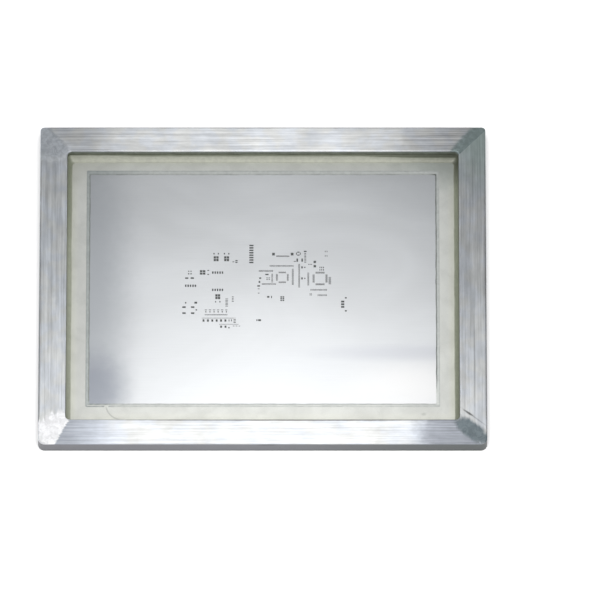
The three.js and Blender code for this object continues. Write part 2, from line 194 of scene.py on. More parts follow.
def scaled(tree, vector, by):
    return node(tree, "ShaderNodeVectorMath", {0: vector, 1: by}, operation="MULTIPLY").outputs[0]


def speckle(tree, vector, scale, detail=2.0, roughness=0.5, distortion=0.0):
    values = {
        "Vector": vector, "Scale": scale, "Detail": detail,
        "Roughness": roughness, "Distortion": distortion,
    }
    return node(tree, "ShaderNodeTexNoise", values).outputs["Fac"]


def mixed(tree, factor, first, second, blend="MIX"):
    values = {"Factor": factor}
    made = node(tree, "ShaderNodeMix", values, data_type="RGBA", blend_type=blend)
    for slot, colour in ((6, first), (7, second)):
        if isinstance(colour, bpy.types.NodeSocket):
            tree.links.new(colour, made.inputs[slot])
        else:
            made.inputs[slot].default_value = (*colour, 1)
    return made.outputs[2]


def dimmed(tree, colour, factor):
    """Colour times a grey factor, which is a node's output."""
    grey = node(tree, "ShaderNodeCombineColor", {0: factor, 1: factor, 2: factor}).outputs[0]
    return mixed(tree, 1.0, colour, grey, "MULTIPLY")


def bumped(tree, height, distance, strength=1.0):
    values = {"Height": height, "Distance": distance, "Strength": strength}
    return node(tree, "ShaderNodeBump", values).outputs["Normal"]


def object_place(tree):
    return node(tree, "ShaderNodeTexCoord").outputs["Object"]


def blob(tree, place, centre, size, turn=0, soft=0.25, wobble=0.0, teeth=(110, 110, 110)):
    """1 inside an ellipse of the top view and 0 outside. size is its half-lengths, turn its tilt in
    degrees, soft the share of its size over which it fades, wobble how ragged its edge is, and teeth how
    many notches that edge has in a metre each way."""
    values = {
        "Vector": place,
        "Location": (*centre, 0),
        "Rotation": (0, 0, math.radians(turn)),
        "Scale": (*size, 1),
    }
    shrunk = node(tree, "ShaderNodeMapping", values, vector_type="TEXTURE").outputs["Vector"]
    flat = scaled(tree, shrunk, (1, 1, 0))
    distance = node(tree, "ShaderNodeVectorMath", {0: flat}, operation="LENGTH").outputs["Value"]
    if wobble:
        ragged = maths(tree, "SUBTRACT", speckle(tree, scaled(tree, place, teeth), 1.0, detail=3), 0.5)
        distance = maths(tree, "ADD", distance, maths(tree, "MULTIPLY", ragged, 2 * wobble))
    return remap(tree, distance, 1 - soft, 1 + soft, 1.0, 0.0)


def beyond_line(tree, place, point, heading, soft):
    """1 on the left of a line in the top view and 0 on its right, with teeth along X. heading is the line's,
    in degrees."""
    left = (-math.sin(math.radians(heading)), math.cos(math.radians(heading)), 0)
    away = node(tree, "ShaderNodeVectorMath", {0: place, 1: (*point, 0)}, operation="SUBTRACT").outputs[0]
    across = node(tree, "ShaderNodeVectorMath", {0: away, 1: left}, operation="DOT_PRODUCT").outputs["Value"]
    ragged = maths(tree, "SUBTRACT", speckle(tree, scaled(tree, place, (60, 500, 0)), 1.0, detail=2), 0.5)
    across = maths(tree, "ADD", across, maths(tree, "MULTIPLY", ragged, 7 * MM))
    return remap(tree, across, -soft, soft)


def inside(tree, place, half_x, half_y, centre_y=0.0):
    """How far inside a rectangle of the top view a place lies, and less than 0 outside it."""
    parts = node(tree, "ShaderNodeSeparateXYZ", {0: place})
    off_middle = maths(tree, "SUBTRACT", parts.outputs["Y"], centre_y)
    from_x = maths(tree, "SUBTRACT", half_x, maths(tree, "ABSOLUTE", parts.outputs["X"]))
    from_y = maths(tree, "SUBTRACT", half_y, maths(tree, "ABSOLUTE", off_middle))
    return maths(tree, "MINIMUM", from_x, from_y)


def new_material(name, **constants):
    """A material, its tree and its shader. constants are the shader's numbers and colours, with _ for a
    space."""
    material = bpy.data.materials.new(name)
    material.use_nodes = True
    shader = material.node_tree.nodes["Principled BSDF"]
    for socket, value in constants.items():
        shader.inputs[socket.replace("_", " ")].default_value = value
    return material, material.node_tree, shader


# ---- Metal ----

ALUMINIUM = (0.60, 0.615, 0.62)
BLUISH_ALUMINIUM = (0.575, 0.605, 0.645)
SHADED_FACE_LEFT = (0.165, 0.168, 0.182)
SHADED_FACE_RIGHT = (0.095, 0.104, 0.105)
SHADED_THIN_FILM = (0.13, 0.15, 0.13)
SHADED_THICK_FILM = (0.11, 0.12, 0.08)
STAINLESS = (0.53, 0.55, 0.57)

# Lines along the metal, as the width and the length of each.
FINE_LINES = (0.5 * MM, 90 * MM)
BROAD_LINES = (2.4 * MM, 170 * MM)
SMEARS = (5 * MM, 24 * MM)
MILL_LINES = (0.6 * MM, 120 * MM)

SWIRL_TURNS = 10  # of the ground metal's grain, over the range of its noise
NICK_X = 4.6 * MM  # a long nick, at the top of the front face
NICK_SIZE = (7.5 * MM, 2 * MM)
NICK_TOP, NICK_BOTTOM = BAR_TOP - 2.4 * MM, BAR_TOP - 4.4 * MM  # it fades from the one to the other
NICK_DEPTH = 0.55


def streaks(tree, fine, long):
    """Scratches that run along a piece: noise drawn out along it. fine and long are their width and
    length."""
    along = node(tree, "ShaderNodeUVMap", uv_map="along").outputs["UV"]
    return speckle(tree, scaled(tree, along, (1 / long, 1 / fine, 0)), 1.0, detail=4, roughness=0.65)


def brushed_metal(tree, place, lines, tone, shades, tints):
    """The colour of brushed metal, with smears and cloudy wear. lines are its brushing and tone is its
    brightness, which carries painted light and shade. shades are darker stretches, painted shade and marks,
    as areas and depths, and tints are coloured ones, as areas and colours."""
    clouds = speckle(tree, place, 30, detail=3, roughness=0.55, distortion=0.4)
    smears = streaks(tree, *SMEARS)
    brushed = remap(tree, lines, 0.36, 0.64, 0.79 * tone, 1.19 * tone)
    brushed = maths(tree, "MULTIPLY", brushed, remap(tree, clouds, 0.3, 0.7, 0.92, 1.06))
    brushed = maths(tree, "MULTIPLY", brushed, remap(tree, smears, 0.35, 0.65, 0.94, 1.06))
    for area, depth in shades:
        shade = maths(tree, "MULTIPLY", blob(tree, place, **area), depth)
        shade = maths(tree, "MULTIPLY", shade, remap(tree, lines, 0.36, 0.64, 1.14, 0.88))
        brushed = maths(tree, "MULTIPLY", brushed, maths(tree, "SUBTRACT", 1.0, shade))
    bluish = remap(tree, speckle(tree, place, 55, detail=2), 0.4, 0.6)
    metal = mixed(tree, bluish, ALUMINIUM, BLUISH_ALUMINIUM)
    for area, tint in tints:
        metal = mixed(tree, blob(tree, place, **area), metal, tint)
    return dimmed(tree, metal, brushed)


def ground_mask(tree, place, area, edge_line):
    """1 where a corner is ground and 0 elsewhere."""
    mask = blob(tree, place, **area)
    if edge_line:
        mask = maths(tree, "MULTIPLY", mask, beyond_line(tree, place, *edge_line))
    return mask


def worked_aluminium(name, tone, shades, tints, corners):
    """Bar metal: brushed along the bar, and ground in swirls and blotches at the corners given."""
    material, tree, shader = new_material(name, Metallic=1.0, Anisotropic=0.8, Anisotropic_Rotation=0.25)
    place = object_place(tree)
    fine = maths(tree, "MULTIPLY", streaks(tree, *FINE_LINES), 0.5)
    broad = maths(tree, "MULTIPLY", streaks(tree, *BROAD_LINES), 0.5)
    lines = maths(tree, "ADD", fine, broad)
    colour, relief = brushed_metal(tree, place, lines, tone, shades, tints), lines
    swirls = speckle(tree, place, 600, detail=3, roughness=0.6, distortion=2.5)
    blotches = speckle(tree, place, 200, detail=3, roughness=0.6, distortion=0.8)
    grain = node(tree, "ShaderNodeTangent", direction_type="UV_MAP", uv_map="along").outputs[0]
    turn = maths(tree, "MULTIPLY", speckle(tree, place, 1100, detail=2), 2 * math.pi * SWIRL_TURNS)
    swirl = {"X": maths(tree, "COSINE", turn), "Y": maths(tree, "SINE", turn)}
    swirling = node(tree, "ShaderNodeCombineXYZ", swirl).outputs[0]
    for corner in corners:
        area, edge_line, tint, contrast = GROUND_AREAS[corner]
        mask = ground_mask(tree, place, area, edge_line)
        ground = remap(tree, blotches, 0.35, 0.65, 1 - contrast, 1 + contrast)
        ground = maths(tree, "MULTIPLY", ground, remap(tree, swirls, 0.3, 0.7, 0.95, 1.05))
        colour = mixed(tree, mask, colour, dimmed(tree, tint, ground))
        kept = maths(tree, "MULTIPLY", relief, maths(tree, "SUBTRACT", 1.0, mask))
        relief = maths(tree, "ADD", kept, maths(tree, "MULTIPLY", swirls, mask))
        grain = mixed(tree, mask, grain, swirling)
    tree.links.new(colour, shader.inputs["Base Color"])
    tree.links.new(remap(tree, relief, 0.3, 0.7, 0.4, 0.52), shader.inputs["Roughness"])
    tree.links.new(bumped(tree, relief, 0.02 * MM, 0.6), shader.inputs["Normal"])
    tree.links.new(grain, shader.inputs["Tangent"])
    return material


def mill_finish():
    """The bars' outer faces: dull, with die lines and small dark nicks, and dark with painted shade, more so
    on the right. The front one has a long nick too."""
    material, tree, shader = new_material("mill_finish", Metallic=0.9)
    place = object_place(tree)
    parts = node(tree, "ShaderNodeSeparateXYZ", {0: place})
    lines = streaks(tree, *MILL_LINES)
    nicks = speckle(tree, scaled(tree, place, (1, 1, 2.5)), 300, detail=2, roughness=0.5)
    tone = remap(tree, lines, 0.3, 0.7, 0.85, 1.12)
    tone = maths(tree, "MULTIPLY", tone, remap(tree, nicks, 0.7, 0.78, 1.0, 0.45))
    nick = blob(tree, place, (NICK_X, -HALF_Y), NICK_SIZE, soft=0.6, wobble=0.5)
    nick_depth = remap(tree, parts.outputs["Z"], NICK_BOTTOM, NICK_TOP, 0.0, NICK_DEPTH)
    nick = maths(tree, "MULTIPLY", nick, nick_depth)
    tone = maths(tree, "MULTIPLY", tone, maths(tree, "SUBTRACT", 1.0, nick))
    # Painted shade, darker towards the right.
    rightward = remap(tree, parts.outputs["X"], -0.03, HALF_X)
    colour = mixed(tree, rightward, SHADED_FACE_LEFT, SHADED_FACE_RIGHT)
    tree.links.new(dimmed(tree, colour, tone), shader.inputs["Base Color"])
    tree.links.new(remap(tree, lines, 0.3, 0.7, 0.4, 0.55), shader.inputs["Roughness"])
    tree.links.new(bumped(tree, lines, 0.03 * MM, 0.7), shader.inputs["Normal"])
    return material


def filmed_aluminium():
    """The bars' inner faces: aluminium under an olive film of adhesive, thicker towards the mesh, both
    darkened with painted shade.
    """
    material, tree, shader = new_material("filmed_aluminium", Metallic=0.5, Roughness=0.4)
    place = object_place(tree)
    height = node(tree, "ShaderNodeSeparateXYZ", {0: place}).outputs["Z"]
    runs = speckle(tree, scaled(tree, place, (1, 1, 0.2)), 160, detail=3, roughness=0.6)
    edge = maths(tree, "ADD", height, maths(tree, "MULTIPLY", runs, 3 * MM))
    film = remap(tree, edge, BAR_BOTTOM + 0.5 * BAR_HEIGHT, BAR_TOP, 1.0, 0.0)
    colour = mixed(tree, film, SHADED_THIN_FILM, SHADED_THICK_FILM)
    colour = dimmed(tree, colour, remap(tree, runs, 0.3, 0.7, 0.85, 1.15))
    tree.links.new(colour, shader.inputs["Base Color"])
    tree.links.new(bumped(tree, runs, 0.1 * MM, 0.4), shader.inputs["Normal"])
    return material


# Painted reflections and shade on the foil, as (centre, half-lengths, colour, strength): shade along the
# left edge, a dark reflection in the front left corner, shade in the back right one, a bright reflection at
# the front right, and a dark band of reflection behind it.
FOIL_REFLECTIONS = [
    ((FOIL_LOW.x + 10 * MM, 0.02), (40 * MM, 190 * MM), (0.33, 0.35, 0.375), 0.85),
    ((FOIL_LOW.x + 18 * MM, FOIL_LOW.y + 30 * MM), (30 * MM, 36 * MM), (0.2, 0.22, 0.26), 0.7),
    ((FOIL_HIGH.x, FOIL_HIGH.y), (80 * MM, 70 * MM), (0.4, 0.42, 0.44), 0.55),
    ((0.165, -0.108), (62 * MM, 24 * MM), (0.6, 0.61, 0.62), 1.0),
    ((0.15, -0.071), (85 * MM, 8 * MM), (0.41, 0.425, 0.475), 0.42),
]


def stainless_foil():
    """Rolled stainless sheet: fine grain along X, faint waviness, wiped smears, and painted reflections and
    shade.
    """
    material, tree, shader = new_material("stainless_foil", Metallic=1.0)
    place = object_place(tree)
    grain = speckle(tree, scaled(tree, place, (20, 1400, 0)), 1.0, detail=3, roughness=0.6)
    smears = speckle(tree, scaled(tree, place, (5, 9, 0)), 1.0, detail=4, roughness=0.55, distortion=0.8)
    tone = remap(tree, smears, 0.3, 0.7, 0.96, 1.04)
    tone = maths(tree, "MULTIPLY", tone, remap(tree, grain, 0.3, 0.7, 0.985, 1.015))
    colour = dimmed(tree, STAINLESS, tone)
    for centre, size, tint, strength in FOIL_REFLECTIONS:
        mask = blob(tree, place, centre, size, soft=0.7, wobble=0.12)
        colour = mixed(tree, maths(tree, "MULTIPLY", mask, strength), colour, tint)
    tree.links.new(colour, shader.inputs["Base Color"])
    tree.links.new(remap(tree, smears, 0.25, 0.75, 0.4, 0.46), shader.inputs["Roughness"])
    waves = speckle(tree, scaled(tree, place, (3, 6, 0)), 1.0, detail=1, roughness=0.4)
    relief = bumped(tree, waves, 0.4 * MM, 0.25)
    values = {"Height": grain, "Distance": 0.004 * MM, "Strength": 0.5, "Normal": relief}
    tree.links.new(node(tree, "ShaderNodeBump", values).outputs["Normal"], shader.inputs["Normal"])
    return material


# ---- Mesh and adhesive ----

THREAD_PITCH = 0.25 * MM


def weave(tree, place):
    """Crossing threads of a plain weave, each over one and under the next, as a height from 0 to 1."""
    parts = node(tree, "ShaderNodeSeparateXYZ", {0: scaled(tree, place, (math.pi / THREAD_PITCH,) * 3)})
    over_x = maths(tree, "SINE", parts.outputs["X"])
    over_y = maths(tree, "SINE", parts.outputs["Y"])
    crossing = maths(tree, "MULTIPLY", over_x, over_y)
    return maths(tree, "ADD", maths(tree, "MULTIPLY", crossing, 0.5), 0.5)


PALE_MESH = (0.5, 0.511, 0.483)
SOAKED_MESH = (0.475, 0.49, 0.44)
BACKED_MESH = (0.46, 0.48, 0.48)
FOLD_SHADE = (0.24, 0.25, 0.24)

# A fold line in the mesh, a quarter of a circle by the window's front left corner.
CREASE_CENTRE = (-0.1465, -0.1315)
CREASE_RADIUS = 17.7 * MM
CREASE_HALF_WIDTH = 1.1 * MM
CREASE_HEIGHT = 0.35 * MM
CREASE_MIDDLE = (-0.1575, -0.1425)
CREASE_REACH = (10 * MM, 10 * MM)  # each way from its middle

# Painted shade and stains on the mesh, as (centre, half-lengths, colour, strength): painted shade in the
# back right corner, down the left side and in the back left corner, and a small mark at the front right.
MESH_SHADE_AND_STAINS = [
    ((WELL_X, WELL_Y), (62 * MM, 32 * MM), (0.32, 0.35, 0.33), 0.85),
    ((-WELL_X + 17 * MM, -0.02), (8 * MM, 150 * MM), (0.42, 0.43, 0.42), 0.55),
    ((-WELL_X + 8 * MM, WELL_Y - 4 * MM), (34 * MM, 30 * MM), (0.42, 0.43, 0.4), 0.55),
    ((0.1686, -0.1425), (2.4 * MM, 1.6 * MM), (0.3, 0.31, 0.3), 0.5),
]


def woven_polyester():
    """Pale monofilament weave, tinted by adhesive beside the walls and greyer where the foil backs it, with
    painted shade in its back corners, down its left side and along a fold.
    """
    material, tree, shader = new_material("woven_polyester", Metallic=0.6, Roughness=0.45)
    place = object_place(tree)
    from_wall = inside(tree, place, WELL_X, WELL_Y)
    drift = maths(tree, "MULTIPLY", maths(tree, "SUBTRACT", speckle(tree, place, 60, detail=3), 0.5), 4 * MM)
    soaked = remap(tree, maths(tree, "ADD", from_wall, drift), 5 * MM, 12 * MM, 1.0, 0.0)
    over_foil = inside(tree, place, FOIL_HIGH.x, FOIL_HIGH.y - WINDOW_CENTRE_Y, WINDOW_CENTRE_Y)
    backed = remap(tree, over_foil, -1 * MM, 1 * MM)
    clouds = speckle(tree, place, 45, detail=4, roughness=0.55, distortion=0.5)
    colour = mixed(tree, soaked, PALE_MESH, SOAKED_MESH)
    colour = mixed(tree, maths(tree, "MULTIPLY", backed, 0.35), colour, BACKED_MESH)
    for centre, size, tint, strength in MESH_SHADE_AND_STAINS:
        mask = blob(tree, place, centre, size, soft=0.7, wobble=0.3)
        colour = mixed(tree, maths(tree, "MULTIPLY", mask, strength), colour, tint)
    # A painted shade along the fold line darkens the mesh there.
    radial = node(tree, "ShaderNodeVectorMath", {0: place, 1: (*CREASE_CENTRE, 0)}, operation="DISTANCE")
    off_fold = maths(tree, "ABSOLUTE", maths(tree, "SUBTRACT", radial.outputs["Value"], CREASE_RADIUS))
    fold = maths(tree, "MULTIPLY", remap(tree, off_fold, 0.3 * MM, CREASE_HALF_WIDTH, 1.0, 0.0), 0.5)
    fold = maths(tree, "MULTIPLY", fold, blob(tree, place, CREASE_MIDDLE, CREASE_REACH, soft=0.2))
    colour = mixed(tree, fold, colour, FOLD_SHADE)
    threads = weave(tree, place)
    mottle = remap(tree, clouds, 0.3, 0.7, 0.935, 1.055)
    tone = maths(tree, "MULTIPLY", mottle, remap(tree, threads, 0, 1, 0.92, 1.08))
    tree.links.new(dimmed(tree, colour, tone), shader.inputs["Base Color"])
    tree.links.new(bumped(tree, threads, 0.05 * MM, 0.35), shader.inputs["Normal"])
    return material


def cured_epoxy(name, thin, thick, rim, shine):
    """Adhesive. The piece's own "depth" says how far its colour goes from thin, the pale one, to thick, the
    dark one, and "rim" where a darker rim colour rings it. On the wall bead the depth is partly the
    adhesive's olive and partly painted shade, and the rim is painted shade. shine is how much of the metal
    beneath shows through it. A piece without them takes its thin colour throughout."""
    material, tree, shader = new_material(name, Metallic=shine, Roughness=0.42)
    place = object_place(tree)
    depth = node(tree, "ShaderNodeAttribute", attribute_name="depth").outputs["Fac"]
    edge = node(tree, "ShaderNodeAttribute", attribute_name="rim").outputs["Fac"]
    blobs = speckle(tree, place, 220, detail=3, roughness=0.55, distortion=0.6)
    colour = mixed(tree, depth, thin, thick)
    colour = mixed(tree, edge, colour, rim)
    colour = dimmed(tree, colour, remap(tree, blobs, 0.3, 0.7, 0.92, 1.08))
    tree.links.new(colour, shader.inputs["Base Color"])
    tree.links.new(bumped(tree, blobs, 0.1 * MM, 0.4), shader.inputs["Normal"])
    return material


# ---- Bars and welds ----

GROOVES = 3
GROOVE_WIDTH = 0.6 * MM
GROOVE_DEPTH = 0.1 * MM
DIE_LINES = (0.12, 0.39, 0.88)  # finer lines, as shares of the bar's width
DIE_LINE_WIDTH = 0.4 * MM
DIE_LINE_DEPTH = 0.02 * MM
WALL_RUNGS = 24  # steps up the inner face
GROUND_REACH = 7 * MM  # the welds are ground down this far on each side of a mitre
GROUND_DEPTH = 0.04 * MM
RIPPLE_PITCH = 1.7 * MM  # of the weld beads up the inner corners
RIPPLE_DEPTH = 0.22 * MM
RIPPLE_REACH = 4.2 * MM  # on each side of a mitre
BAR_COUNTS = (84, 64, 10)  # points along a long bar, along a short bar and round a corner
STREAK_SHIFT = 0.01  # of a piece's streaks, times its first point, so that no two pieces have the same
OUTER_FACE, TOP_FACE, INNER_FACE = range(3)


def quarter(centre_u, centre_v, radius, start_degrees, steps=6):
    """A quarter circle's points, clockwise from the end of its turn to its start."""
    turn = [math.radians(start_degrees + 90 * (1 - step / steps)) for step in range(steps + 1)]
    return [(centre_u + radius * math.cos(a), centre_v + radius * math.sin(a)) for a in turn]


def bar_section():
    """The bar's section as (inset from the outer face, height, depth of line, face), round from the bottom
    of the outer face. The depth is kept apart because the lines are ground away beside the mitres."""
    outer, foot, inner = OUTER_EDGE_RADIUS, OUTER_FOOT_RADIUS, INNER_EDGE_RADIUS
    section = [(u, v, 0.0, OUTER_FACE) for u, v in quarter(foot, foot, foot, 180)]
    section += [(u, v, 0.0, TOP_FACE) for u, v in quarter(outer, BAR_HEIGHT - outer, outer, 90)]
    lines = [((k + 1) / (GROOVES + 1), GROOVE_WIDTH, GROOVE_DEPTH) for k in range(GROOVES)]
    lines += [(share, DIE_LINE_WIDTH, DIE_LINE_DEPTH) for share in DIE_LINES]
    for share, width, depth in sorted(lines):
        middle = share * BAR_WIDTH
        section.append((middle - width / 2, BAR_HEIGHT, 0.0, TOP_FACE))
        section.append((middle, BAR_HEIGHT, depth, TOP_FACE))
        section.append((middle + width / 2, BAR_HEIGHT, 0.0, TOP_FACE))
    far = BAR_WIDTH - inner
    section += [(u, v, 0.0, TOP_FACE) for u, v in quarter(far, BAR_HEIGHT - inner, inner, 0)]
    low, high = inner, BAR_HEIGHT - inner
    rungs = [high + (low - high) * rung / WALL_RUNGS for rung in range(1, WALL_RUNGS)]
    section += [(BAR_WIDTH, v, 0.0, INNER_FACE) for v in rungs]
    section += [(u, v, 0.0, INNER_FACE) for u, v in quarter(far, inner, inner, -90)]
    return section


def bar_loops(section):
    """For each point of the section, its way round the whole frame."""
    loops = []
    for inset, height, depth, face in section:
        share = inset / BAR_WIDTH
        radii = [radius + (WELD_FILLET - radius) * share for radius in CORNER_RADII]
        rippled = face == INNER_FACE and INNER_EDGE_RADIUS < height < BAR_HEIGHT - INNER_EDGE_RADIUS
        loop = []
        for x, y in ring(HALF_X - inset, HALF_Y - inset, radii, BAR_COUNTS):
            from_mitre = abs((HALF_X - abs(x)) - (HALF_Y - abs(y))) / math.sqrt(2)
            z = BAR_BOTTOM + height
            if face == TOP_FACE:
                z -= depth * smooth_step(from_mitre, 0.4 * GROUND_REACH, GROUND_REACH)
                hollow = 1 - smooth_step(from_mitre, 0, GROUND_REACH)
                z -= GROUND_DEPTH * hollow * (0.7 + 0.5 * wander(x, y, 0, 4 * MM))
            elif rippled:
                seam = 1 - smooth_step(from_mitre, 0, RIPPLE_REACH)
                ripple = RIPPLE_DEPTH * seam * math.cos(2 * math.pi * height / RIPPLE_PITCH)
                x -= math.copysign(ripple, x)
                y -= math.copysign(ripple, y)
            loop.append(Vector((x, y, z)))
        loops.append(loop)
    return loops


def stretch_of_frame(name, section, loops, first, last, materials):
    """The part of the frame between two stations of the loops, closed at both ends."""
    around = len(loops[0])
    stations = [station % around for station in range(first, last + 1)]
    across = len(section)
    middle = [loops[across // 2][station] for station in stations]
    run = [0.0]
    for before, after in zip(middle, middle[1:]):
        run.append(run[-1] + (after - before).length)
    girth = [0.0]
    for (u0, v0, *_), (u1, v1, *_) in zip(section, section[1:]):
        girth.append(girth[-1] + math.hypot(u1 - u0, v1 - v0))
    vertices, coordinates = [], []
    for station, along in zip(stations, run):
        for point, over in enumerate(girth):
            vertices.append(loops[point][station])
            coordinates.append((first * STREAK_SHIFT + along, over))
    faces, slots = [], []
    for row in range(len(stations) - 1):
        base, ahead = row * across, (row + 1) * across
        for point, (*_, face) in enumerate(section):
            following = (point + 1) % across
            faces.append((base + point, ahead + point, ahead + following, base + following))
            slots.append(face)
    end = (len(stations) - 1) * across
    faces.append(tuple(range(across)))
    faces.append(tuple(end + point for point in reversed(range(across))))
    slots += [INNER_FACE, INNER_FACE]
    piece = add_piece(name, vertices, faces, materials, slots, coordinates)
    keep_flats_flat(piece)
    return piece


def patch(centre, size, **shape):
    """An area of the metal, as blob wants it."""
    return {"centre": centre, "size": size, **shape}


def shaded(centre, size, depth, turn=0, soft=0.75, wobble=0.3):
    """A darker stretch of a bar, painted shade or a mark, as its area and how dark it is."""
    return patch(centre, size, turn=turn, soft=soft, wobble=wobble), depth


# Where each corner was ground flush, counter-clockwise from the front right one: the area, an optional edge
# that it stops at, as a point, a heading and a softness, and the ground metal's colour and how blotchy it is.
# The colours differ from corner to corner by painted light: a painted highlight at the front left and
# painted shade at the others, darkest at the front right.
GROUND_AREAS = {
    "front_right": (
        patch(
            (HALF_X - 15.5 * MM, -HALF_Y + 15.5 * MM), (22 * MM, 9 * MM), turn=-40,
            soft=0.25, wobble=0.35, teeth=(300, 80, 0),
        ),
        None,
        (0.13, 0.157, 0.172),
        0.14,
    ),
    "back_right": (
        patch((HALF_X - 12 * MM, HALF_Y - 12 * MM), (36 * MM, 36 * MM), soft=0.4, wobble=0.35),
        ((HALF_X - 38 * MM, WELL_Y), 230, 2.5 * MM),
        (0.195, 0.24, 0.24),
        0.13,
    ),
    "back_left": (
        patch((-HALF_X + 12 * MM, HALF_Y - 14 * MM), (24 * MM, 26 * MM), soft=0.4, wobble=0.3),
        ((-HALF_X + 21 * MM, HALF_Y - 14 * MM), 131, 3 * MM),
        (0.365, 0.39, 0.42),
        0.13,
    ),
    "front_left": (
        patch(
            (-HALF_X + 17 * MM, -HALF_Y + 14 * MM), (29 * MM, 19 * MM), turn=40,
            soft=0.12, wobble=0.5, teeth=(400, 70, 0),
        ),
        ((-HALF_X + 18 * MM, -HALF_Y), 63, 1 * MM),
        (0.68, 0.69, 0.71),
        0.1,
    ),
}

# The front bar: painted shade at its left end, its middle and its right end, three faint smudges, and a
# dark line along its edge by the well.
FRONT_SHADES = [
    shaded((-HALF_X + 26 * MM, -HALF_Y + 12 * MM), (34 * MM, 30 * MM), 0.28),
    shaded((0, -HALF_Y + 12 * MM), (110 * MM, 60 * MM), 0.14, soft=0.35),
    shaded((HALF_X - 30 * MM, -HALF_Y + 12 * MM), (40 * MM, 30 * MM), 0.44, soft=0.3),
    shaded((0.078, -0.1655), (8 * MM, 2 * MM), 0.09),
    shaded((0.122, -0.168), (17 * MM, 4 * MM), 0.07),
    shaded((-0.098, -0.164), (14 * MM, 4 * MM), 0.08),
    shaded((0.035, -WELL_Y - 0.5 * MM), (190 * MM, 1.3 * MM), 0.66),
]
# Both its ends are bluish.
FRONT_TINTS = [
    (
        patch((side * (HALF_X - 36 * MM), -HALF_Y + 12 * MM), (44 * MM, 30 * MM), soft=0.5),
        (0.54, 0.58, 0.65),
    )
    for side in (-1, 1)
]
# The right bar: two long streaks, a gouge and a scratch beside the front corner, and painted shade at its
# back end and along its outer edge.
RIGHT_SHADES = [
    shaded((0.222, -0.1), (0.6 * MM, 50 * MM), 0.3, soft=0.6),
    shaded((0.2115, -0.11), (0.7 * MM, 40 * MM), 0.2, soft=0.6),
    shaded((0.2152, -0.149), (5.5 * MM, 1.1 * MM), 0.65, turn=-35, soft=0.6, wobble=0.5),
    shaded((0.2213, -0.1537), (14 * MM, 0.8 * MM), 0.3, turn=-39, soft=0.6, wobble=0.5),
    shaded((HALF_X - 14 * MM, HALF_Y - 60 * MM), (30 * MM, 60 * MM), 0.14),
    shaded((HALF_X - 0.4 * MM, -0.02), (1.1 * MM, 190 * MM), 0.55),
]
# Its back end is greenish.
RIGHT_TINTS = [(patch((HALF_X, HALF_Y), (34 * MM, 60 * MM), soft=0.7, wobble=0.3), (0.45, 0.535, 0.52))]
# Painted shade along the left bar's outer edge.
LEFT_SHADES = [shaded((-HALF_X + 0.4 * MM, -0.05), (1.1 * MM, 170 * MM), 0.55)]
# The back bar: painted shade along its outer edge and at its two ends.
BACK_SHADES = [
    shaded((0, HALF_Y - 0.4 * MM), (260 * MM, 1.1 * MM), 0.4),
    shaded((HALF_X - 28 * MM, HALF_Y - 14 * MM), (62 * MM, 34 * MM), 0.37),
    shaded((-HALF_X + 28 * MM, HALF_Y - 14 * MM), (36 * MM, 30 * MM), 0.25),
]
# Each bar's brightness, which differs from bar to bar as painted light and shade, its darker stretches, its
# tints and the ground corners that reach onto it.
BAR_FINISHES = {
    "front": (0.86, FRONT_SHADES, FRONT_TINTS, ["front_left", "front_right"]),
    "right": (0.83, RIGHT_SHADES, RIGHT_TINTS, ["front_right"]),
    "back": (0.81, BACK_SHADES, [], ["back_right", "back_left"]),
    "left": (0.95, LEFT_SHADES, [], ["back_left", "front_left"]),
}
WELD_TONE = 0.85


def make_frame():
    """The welds and the bars, in turn round the frame from its front right corner."""
    section = bar_section()
    loops = bar_loops(section)
    along_x, along_y, around = BAR_COUNTS
    mill, film = mill_finish(), filmed_aluminium()
    station = 0
    for corner, side in zip(GROUND_AREAS, ("right", "back", "left", "front")):
        last = station + around
        top = worked_aluminium(f"ground_{corner}", WELD_TONE, [], [], [corner])
        name = f"corner_weld_{corner}"
        weld = stretch_of_frame(f"{name}_ground", section, loops, station, last, [mill, top, film])
        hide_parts(name)
        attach(weld, "root")
        station = last
        last += along_y if side in ("right", "left") else along_x
        top = worked_aluminium(f"brushed_{side}", *BAR_FINISHES[side])
        name = f"frame_bar_{side}"
        bar = stretch_of_frame(f"{name}_brushed", section, loops, station, last, [mill, top, film])
        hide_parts(name)
        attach(bar, "root")
        station = last


# ---- Beads ----

OLIVE = (0.15, 0.165, 0.12)
PALE_YELLOW = (0.365, 0.375, 0.32)
GREY_GREEN = (0.42, 0.44, 0.43)
DARK_GREY_GREEN = (0.26, 0.285, 0.285)
DARK_OLIVE = (0.04, 0.045, 0.03)
SEAL_RIM_DARK = (0.11, 0.12, 0.115)
WALL_BEAD_COUNTS = (104, 80, 6)
WALL_BEAD_RADIUS = 4 * MM  # of its foot's corners
WALL_BEAD_LIP = 0.06 * MM  # how thick it ends at its foot
SEAL_BEAD_COUNTS = (150, 110, 4)
SEAL_OVERLAP = 1 * MM  # onto the mesh
SEAL_FRONT_SHIFT = 1.3 * MM  # how much further out the bead lies in front
SEAL_BACK_SPREAD = 1 * MM  # how much wider it is at the back
SEAL_CROWN = 0.25 * MM  # above the mesh, before its rounding takes some off
BEAD_STEPS = 12


def set_numbers(piece, name, values):
    layer = piece.data.attributes.new(name, "FLOAT", "POINT")
    layer.data.foreach_set("value", values)


